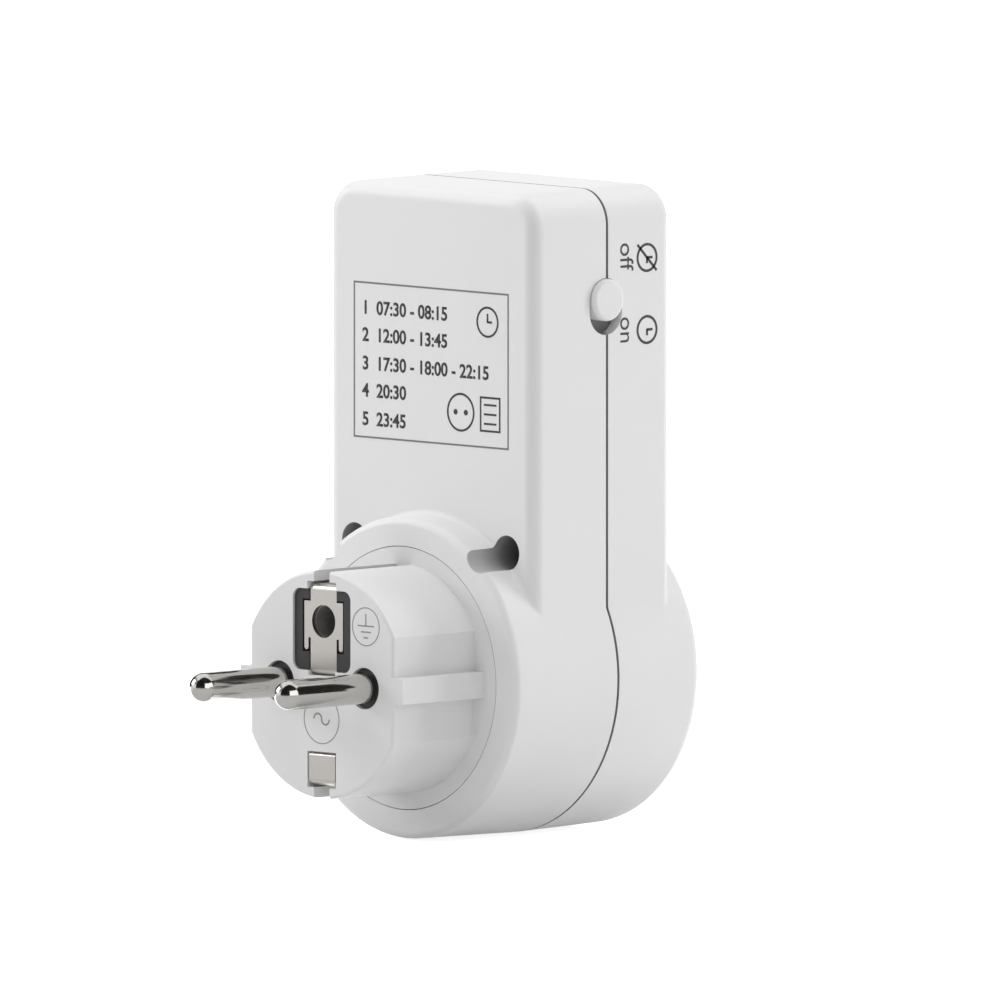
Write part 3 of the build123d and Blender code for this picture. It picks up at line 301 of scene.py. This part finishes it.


# The slider's hidden plate and the floor of the seam get painted shade: their faces are grey where the slot
# and the seam groove lie in shade.
plate_depth = 2.0 * mm
plate_x = switch_side_x + plate_depth
seam_near, seam_far = -40.14 * mm, -40.66 * mm
shade_faces("slider_knob", slot_painted_shade, lambda centre: centre.x > plate_x)
shade_faces("rear_shell", seam_painted_shade, lambda centre: centre.y < seam_near)
shade_faces("front_shell", seam_painted_shade, lambda centre: seam_far < centre.y < seam_near)

# The two screw wells get painted shade that darkens towards their floors; each is coaxial with its screw.
screw_low, screw_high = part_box("case_screws")
screw_head_radius = 2.4 * mm
well_x = screw_high.x - screw_head_radius
well_z = (screw_low.z + screw_high.z) / 2
well_reach = 2.85 * mm
shade_faces("rear_shell", well_painted_shade,
            lambda centre: hypot(abs(centre.x) - well_x, centre.z - well_z) < well_reach)


# ---- thin marks ----
# A mark is drawn flat in its own plane, in millimetres, and then laid on a surface: the
# matrix says where its x, y and z go. Its z runs from just under the surface to just over it.
# Rings step by degrees. Capitals are a share of the font's size. Corners nearer than the
# fold size are folds left by a bold outline, and the weld size joins parts of one drawing.
ring_step = 7.5
ring_least_steps = 6
dot_sides = 24
capitals_share = 0.7
fold_size = 0.025 * mm
weld_size = 0.0005 * mm


def back_plane(x, z, y):
    """Faces +Y; read from behind the case, so its x runs towards -X."""
    return Matrix.Translation((x, y, z)) @ Matrix(((-1, 0, 0), (0, 0, 1), (0, 1, 0))).to_4x4()


def front_plane(x, z, y):
    """Faces -Y; read from the front, so its x runs towards +X."""
    return Matrix.Translation((x, y, z)) @ Matrix(((1, 0, 0), (0, 0, -1), (0, 1, 0))).to_4x4()


def side_plane(y, z, x):
    """Faces -X and is read downwards: its x runs towards -Z, its y towards -Y."""
    return Matrix.Translation((x, y, z)) @ Matrix(((0, 0, -1), (0, -1, 0), (-1, 0, 0))).to_4x4()


def bar(mesh, x, y, width, height, turn=0.0):
    """Rectangle centred at x, y."""
    made = bmesh.ops.create_grid(mesh, x_segments=1, y_segments=1, size=0.5)["verts"]
    bmesh.ops.scale(mesh, vec=(width * mm, height * mm, 1), verts=made)
    bmesh.ops.rotate(mesh, matrix=Matrix.Rotation(radians(turn), 3, "Z"), verts=made)
    bmesh.ops.translate(mesh, vec=(x * mm, y * mm, 0), verts=made)


def ring(mesh, x, y, radius, line, start=0.0, sweep=360.0):
    """Circle or arc of this middle radius and line width, spun from one short edge."""
    before = set(mesh.verts)
    across, up = cos(radians(start)), sin(radians(start))
    inner, outer = radius - line / 2, radius + line / 2
    first = mesh.verts.new((across * inner * mm, up * inner * mm, 0))
    second = mesh.verts.new((across * outer * mm, up * outer * mm, 0))
    edge = mesh.edges.new((first, second))
    steps = max(ring_least_steps, int(sweep / ring_step))
    bmesh.ops.spin(mesh, geom=[first, second, edge], cent=(0, 0, 0), axis=(0, 0, 1),
                   angle=radians(sweep), steps=steps, use_merge=sweep == 360.0)
    made = [vertex for vertex in mesh.verts if vertex not in before]
    bmesh.ops.translate(mesh, vec=(x * mm, y * mm, 0), verts=made)


def disc(mesh, x, y, radius):
    made = bmesh.ops.create_circle(mesh, cap_ends=True, segments=dot_sides, radius=radius * mm)["verts"]
    bmesh.ops.translate(mesh, vec=(x * mm, y * mm, 0), verts=made)


def box_line(mesh, x, y, width, height, line):
    """Rectangular border of this line width: a plate inset by the line and opened."""
    before = set(mesh.faces)
    bar(mesh, x, y, width, height)
    plate = [face for face in mesh.faces if face not in before]
    bmesh.ops.inset_region(mesh, faces=plate, thickness=line * mm, use_boundary=True, use_even_offset=True)
    bmesh.ops.delete(mesh, geom=plate, context="FACES")


def clock_dial(mesh, x, y, radius, line):
    """Round clock at three o'clock."""
    ring(mesh, x, y, radius, line)
    bar(mesh, x, y + radius * 0.27, line, radius * 0.62)
    bar(mesh, x + radius * 0.2, y, radius * 0.46, line)


def make_object(name, mesh, material):
    """Turns a finished mesh into an object of the scene."""
    data = bpy.data.meshes.new(name)
    mesh.to_mesh(data)
    mesh.free()
    data.materials.append(material)
    made = bpy.data.objects.new(name, data)
    bpy.context.scene.collection.objects.link(made)
    return made


def finish_piece(name, mesh, place, body, material):
    """Gives flat faces their thickness, lays them on their surface and makes the piece."""
    bmesh.ops.remove_doubles(mesh, verts=mesh.verts, dist=weld_size)
    lower = list(mesh.verts)
    grown = bmesh.ops.extrude_face_region(mesh, geom=list(mesh.faces), use_keep_orig=True)["geom"]
    upper = [item for item in grown if isinstance(item, bmesh.types.BMVert)]
    bmesh.ops.translate(mesh, vec=(0, 0, print_rise), verts=upper)
    bmesh.ops.translate(mesh, vec=(0, 0, -print_sink), verts=lower)
    bmesh.ops.recalc_face_normals(mesh, faces=mesh.faces)
    bmesh.ops.transform(mesh, matrix=place, verts=mesh.verts)
    piece = make_object(name, mesh, material)
    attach(piece, body)


def lettering(name, word, size, place, body, material, side="CENTER", bold=0.0):
    """Word as a thin piece: size is the height of its capitals, bold what widens each edge."""
    curve = bpy.data.curves.new(name, "FONT")
    curve.body = word
    curve.size = size * mm / capitals_share
    curve.align_x = side
    curve.align_y = "CENTER"
    curve.resolution_u = 6
    curve.offset = bold * mm
    source = bpy.data.objects.new(name + "_curve", curve)
    bpy.context.scene.collection.objects.link(source)
    bpy.context.view_layer.update()
    mesh = bmesh.new()
    flat = bpy.data.meshes.new_from_object(source)
    mesh.from_mesh(flat)
    bmesh.ops.remove_doubles(mesh, verts=mesh.verts, dist=fold_size)
    bpy.data.objects.remove(source)
    bpy.data.meshes.remove(flat)
    bpy.data.curves.remove(curve)
    finish_piece(name, mesh, place, body, material)


# ---- label on the case's back: a short programme and three pictograms in a frame ----
back_y = -24.18 * mm
label_x, label_z = -0.12 * mm, 49.05 * mm
label_width, label_height = 34.7, 24.7
label_margin = 1.9
label_capitals = 2.1
label_bold = 0.07
label_rows = (
    ("1  07:30 - 08:15", 8.2),
    ("2  12:00 - 13:45", 3.9),
    ("3  17:30 - 18:00 - 22:15", -0.6),
    ("4  20:30", -4.9),
    ("5  23:45", -9.4),
)
round_line, straight_line = 0.35, 0.32
socket_x, list_x, pictogram_y = 6.6, 13.2, -7.0
label = back_plane(label_x, label_z, back_y)

mesh = bmesh.new()
box_line(mesh, 0, 0, label_width, label_height, 0.28)
finish_piece("label_border", mesh, label, "housing", print_grey)

words_x = label_x + (label_width / 2 - label_margin) * mm
for row, (words, height) in enumerate(label_rows, start=1):
    start = back_plane(words_x, label_z + height * mm, back_y)
    lettering(f"label_row_{row}", words, label_capitals, start, "housing", print_black, "LEFT", label_bold)

mesh = bmesh.new()
clock_dial(mesh, 12.6, 7.6, 2.3, round_line)
ring(mesh, socket_x, pictogram_y, 2.9, round_line)
for side in (-1, 1):
    disc(mesh, socket_x + side * 1.15, pictogram_y, 0.45)
box_line(mesh, list_x, pictogram_y, 4.6, 5.6, straight_line)
for height in (-5.5, pictogram_y, -8.5):
    bar(mesh, list_x, height, 2.8, straight_line)
finish_piece("label_pictograms", mesh, label, "housing", print_black)

# ---- switch marks on the side: a struck-out clock by "off" and a clock by "on" ----
word_y, word_size = -44.6 * mm, 2.9
off_z, on_z = 66.5 * mm, 54.8 * mm
clock_y, clock_z, clock_step = -49.25 * mm, 66.0 * mm, 11.4
clock_line = 0.42
for word, height in (("off", off_z), ("on", on_z)):
    place = side_plane(word_y, height, switch_side_x)
    lettering("switch_" + word, word, word_size, place, "housing", print_dark)
mesh = bmesh.new()
for x in (0.0, clock_step):
    clock_dial(mesh, x, 0, 2.1, clock_line)
bar(mesh, 0, 0, 6.0, clock_line, turn=45)
finish_piece("switch_clocks", mesh, side_plane(clock_y, clock_z, switch_side_x), "housing", print_dark)

# ---- circles on the plug's face: protective earth, and the wave of alternating current ----
# These circles are engraved; their grey is painted shade for the engraving.
circle_line, earth_line, wave_line = 0.16, 0.22, 0.26
wave_radius = 0.85
mesh = bmesh.new()
ring(mesh, 0, 0, 3.0, circle_line)
bar(mesh, 0, 1.1, earth_line, 1.9)
for height, width in ((0.1, 3.6), (-0.85, 2.2), (-1.75, 1.0)):
    bar(mesh, 0, height, width, earth_line)
finish_piece("earth_symbol", mesh, back_plane(-9.9 * mm, 9.8 * mm, 0), "housing", engraving_painted_shade)

mesh = bmesh.new()
ring(mesh, 0, 0, 3.9, circle_line)
ring(mesh, -wave_radius, 0, wave_radius, wave_line, start=0, sweep=180)
ring(mesh, wave_radius, 0, wave_radius, wave_line, start=180, sweep=180)
finish_piece("current_symbol", mesh, back_plane(0, -5.4 * mm, 0), "housing", engraving_painted_shade)

# ---- display ----
digit_height, digit_width, stroke = 8.4, 4.4, 0.85
digit_y = 0.8
segment_map = {"0": "abcdef", "1": "bc", "8": "abcdefg"}
digits = ((-11.0, "1"), (-5.2, "0"), (3.4, "0"), (9.2, "8"))
day_dashes, day_step = 7, 4.0


def digit(mesh, x, y, shown):
    """Seven-segment figure made of bars with small gaps between them."""
    half_w = (digit_width - stroke) / 2
    half_h = (digit_height - stroke) / 2
    flat = digit_width - stroke * 1.5
    tall = digit_height / 2 - stroke * 1.3
    places = {
        "a": (0, half_h, flat, stroke), "d": (0, -half_h, flat, stroke), "g": (0, 0, flat, stroke),
        "b": (half_w, half_h / 2, stroke, tall), "c": (half_w, -half_h / 2, stroke, tall),
        "f": (-half_w, half_h / 2, stroke, tall), "e": (-half_w, -half_h / 2, stroke, tall),
    }
    for segment in segment_map[shown]:
        dx, dy, width, height = places[segment]
        bar(mesh, x + dx, y + dy, width, height)


mesh = bmesh.new()
for x, shown in digits:
    digit(mesh, x, digit_y, shown)
for dy in (-1.6, 1.6):
    disc(mesh, -0.9, digit_y + dy, 0.55)
for day in range(day_dashes):
    bar(mesh, (day - (day_dashes - 1) / 2) * day_step, 6.5, 2.4, 0.7)
bar(mesh, 0, -5.6, 26.0, 0.3)
clock_dial(mesh, 13.6, 2.8, 1.3, 0.3)
middle_z = (glass_low.z + glass_high.z) / 2
finish_piece("display_segments", mesh, front_plane(0, middle_z, glass_low.y), "housing", segment_dark)


# ---- marks on the keys ----
def key_mark(node, body, draw):
    """White mark in the middle of a key, drawn by draw(mesh)."""
    low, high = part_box(node)
    mesh = bmesh.new()
    draw(mesh)
    place = front_plane((low.x + high.x) / 2, (low.z + high.z) / 2, low.y)
    finish_piece(node + "_mark", mesh, place, body, icon_white)


def calendar(mesh):
    box_line(mesh, 0, -0.4, 2.6, 1.6, 0.28)
    bar(mesh, 0, 0.7, 2.6, 0.6)
    for x in (-0.7, 0.7):
        bar(mesh, x, 1.2, 0.28, 0.4)


def programme(mesh):
    for y in (-0.8, 0.0, 0.8):
        bar(mesh, 0.35, y, 2.2, 0.3)
        bar(mesh, -1.15, y, 0.35, 0.35)


def chevrons(count):
    """Drawing of this many arrowheads that point up, 1 mm apart."""
    def draw(mesh):
        for step in range(count):
            y = step - (count - 1) / 2
            for side in (-1, 1):
                bar(mesh, side * 0.55, y, 1.5, 0.32, turn=-side * 35)
    return draw


def power_mark(mesh):
    ring(mesh, 0, -0.1, 1.05, 0.3, start=120, sweep=300)
    bar(mesh, 0, 0.8, 0.3, 1.3)


key_mark("key_clock", "clock_key", lambda mesh: clock_dial(mesh, 0, 0, 1.3, 0.28))
key_mark("key_day", "day_key", calendar)
key_mark("key_program", "program_key", programme)
key_mark("key_hour", "hour_key", chevrons(1))
key_mark("key_minute", "minute_key", chevrons(2))
key_mark("key_mode", "mode_key", power_mark)

# ---- camera ----
view_turn = radians(225.29)
view_rise = radians(4.98)
view_right, view_up = 15.27 * mm, 28.02 * mm
view_width = 0.15753
view_distance = 0.8
collar_end_y = -18.05 * mm
camera_right = Vector((cos(view_turn), sin(view_turn), 0))
camera_back = Vector((sin(view_turn) * cos(view_rise), -cos(view_turn) * cos(view_rise), sin(view_rise)))
camera_up = camera_back.cross(camera_right)
target = Vector((0, collar_end_y, 0)) + view_right * camera_right + view_up * camera_up
camera_data = bpy.data.cameras.new("camera")
camera_data.type = "ORTHO"
camera_data.ortho_scale = view_width
camera = bpy.data.objects.new("camera", camera_data)
bpy.context.scene.collection.objects.link(camera)
turn = Matrix((camera_right, camera_up, camera_back)).transposed().to_4x4()
camera.matrix_world = Matrix.Translation(target + view_distance * camera_back) @ turn
bpy.context.scene.camera = camera


# ---- light and floor ----
scene_middle = Vector((0, -0.03, 0.03))
card_steps = 24


def soft_light(name, place, size, power, mirrored=True):
    """Square lamp that faces the middle of the case; mirrored says if reflections show it."""
    data = bpy.data.lights.new(name, "AREA")
    data.size = size
    data.energy = power
    lamp = bpy.data.objects.new(name, data)
    bpy.context.scene.collection.objects.link(lamp)
    lamp.rotation_euler = (scene_middle - Vector(place)).to_track_quat("-Z", "Y").to_euler()
    lamp.location = place
    lamp.visible_camera = False
    lamp.visible_glossy = mirrored


soft_light("overhead", (0.0, 0.0, 1.0), 0.8, 4.2, mirrored=False)
soft_light("plug_above", (0.25, 0.10, 0.70), 0.25, 0.65, mirrored=False)
soft_light("plug_side", (0.60, 0.30, 0.30), 0.30, 1.75)
soft_light("switch_side", (-0.38, -0.70, 0.15), 0.30, 2.8, mirrored=False)


def card(name, low, high, glow=0.0):
    """Felt of an even grey between low and high, which may glow by itself."""
    shader = Shader(bpy.data.materials.new(name))
    felt = shader.noise(40.0)
    shader.set(Base_Color=shader.blend(felt, (low, low, low), (high, high, high)), Roughness=0.95)
    shader.set(Emission_Color=(1, 1, 1, 1), Emission_Strength=glow)
    return shader.owner


def reflected_card(name, start, end, first_turn, sweep, material):
    """Line between two places (radius, height), swept about Z; only reflections show it."""
    mesh = bmesh.new()
    lower = mesh.verts.new((start[0], 0, start[1]))
    upper = mesh.verts.new((end[0], 0, end[1]))
    edge = mesh.edges.new((lower, upper))
    bmesh.ops.spin(mesh, geom=[lower, upper, edge], cent=(0, 0, 0), axis=(0, 0, 1),
                   angle=radians(sweep), steps=card_steps)
    bmesh.ops.rotate(mesh, matrix=Matrix.Rotation(radians(first_turn), 3, "Z"), verts=mesh.verts)
    wall = make_object(name, mesh, material)
    wall.visible_camera = False
    wall.visible_diffuse = False
    wall.visible_transmission = False
    wall.visible_shadow = False


# Each card takes its two places, the azimuth where it starts and its sweep, in degrees.
black_card = card("black_card", 0.01, 0.02)
grey_card = card("grey_card", 0.54, 0.58)
white_card = card("white_card", 0.80, 0.82, glow=0.9)
wall_radius, wall_foot, wall_top = 1.5, -0.02, 1.1
glow_radius, strap_card_radius, low_card_radius = 1.35, 1.45, 1.4
centre_gap = 0.002
low_z = floor_z + 0.5 * mm
near_foot, near_top = (wall_radius, wall_foot), (wall_radius, wall_top)
reflected_card("near_wall", near_foot, near_top, 66, 124, black_card)
reflected_card("hood", near_top, (centre_gap, 1.5), 66, 148, black_card)
reflected_card("glow", (glow_radius, 0.0), (glow_radius, 0.95), 140, 70, white_card)
reflected_card("strap_card", (strap_card_radius, 0.5), (strap_card_radius, 1.6), 5, 61, grey_card)
reflected_card("far_wall", near_foot, (wall_radius, 1.3), 192, 105, black_card)
reflected_card("back_wall", (wall_radius, 0.7), (wall_radius, 1.4), 297, 38, black_card)
reflected_card("left_wall", near_foot, near_top, 335, 45, black_card)
reflected_card("low_card", (centre_gap, low_z), (low_card_radius, low_z), 20, 220, grey_card)

sky_light = 0.52
studio = Shader(bpy.data.worlds.new("studio"), "Background")
studio.set(Color=(1, 1, 1, 1), Strength=sky_light + (1 - sky_light) * studio.seen())
bpy.context.scene.world = studio.owner

floor_glow = 0.82
floor_reach, floor_gap = 3.0, 0.1 * mm
paper = Shader(bpy.data.materials.new("floor_paper"))
fibre = paper.noise(300.0)
paper.set(Base_Color=paper.blend(fibre, (0.78, 0.78, 0.78), (0.80, 0.80, 0.80)), Roughness=0.9)
paper.set(Emission_Color=paper.blend(paper.seen(), (0, 0, 0), (1, 1, 1)), Emission_Strength=floor_glow)
floor_mesh = bmesh.new()
bmesh.ops.create_grid(floor_mesh, x_segments=1, y_segments=1, size=floor_reach)
bmesh.ops.translate(floor_mesh, vec=(0, 0, floor_z - floor_gap), verts=floor_mesh.verts)
floor = make_object("floor", floor_mesh, paper.owner)

bpy.context.scene.view_settings.view_transform = "Standard"
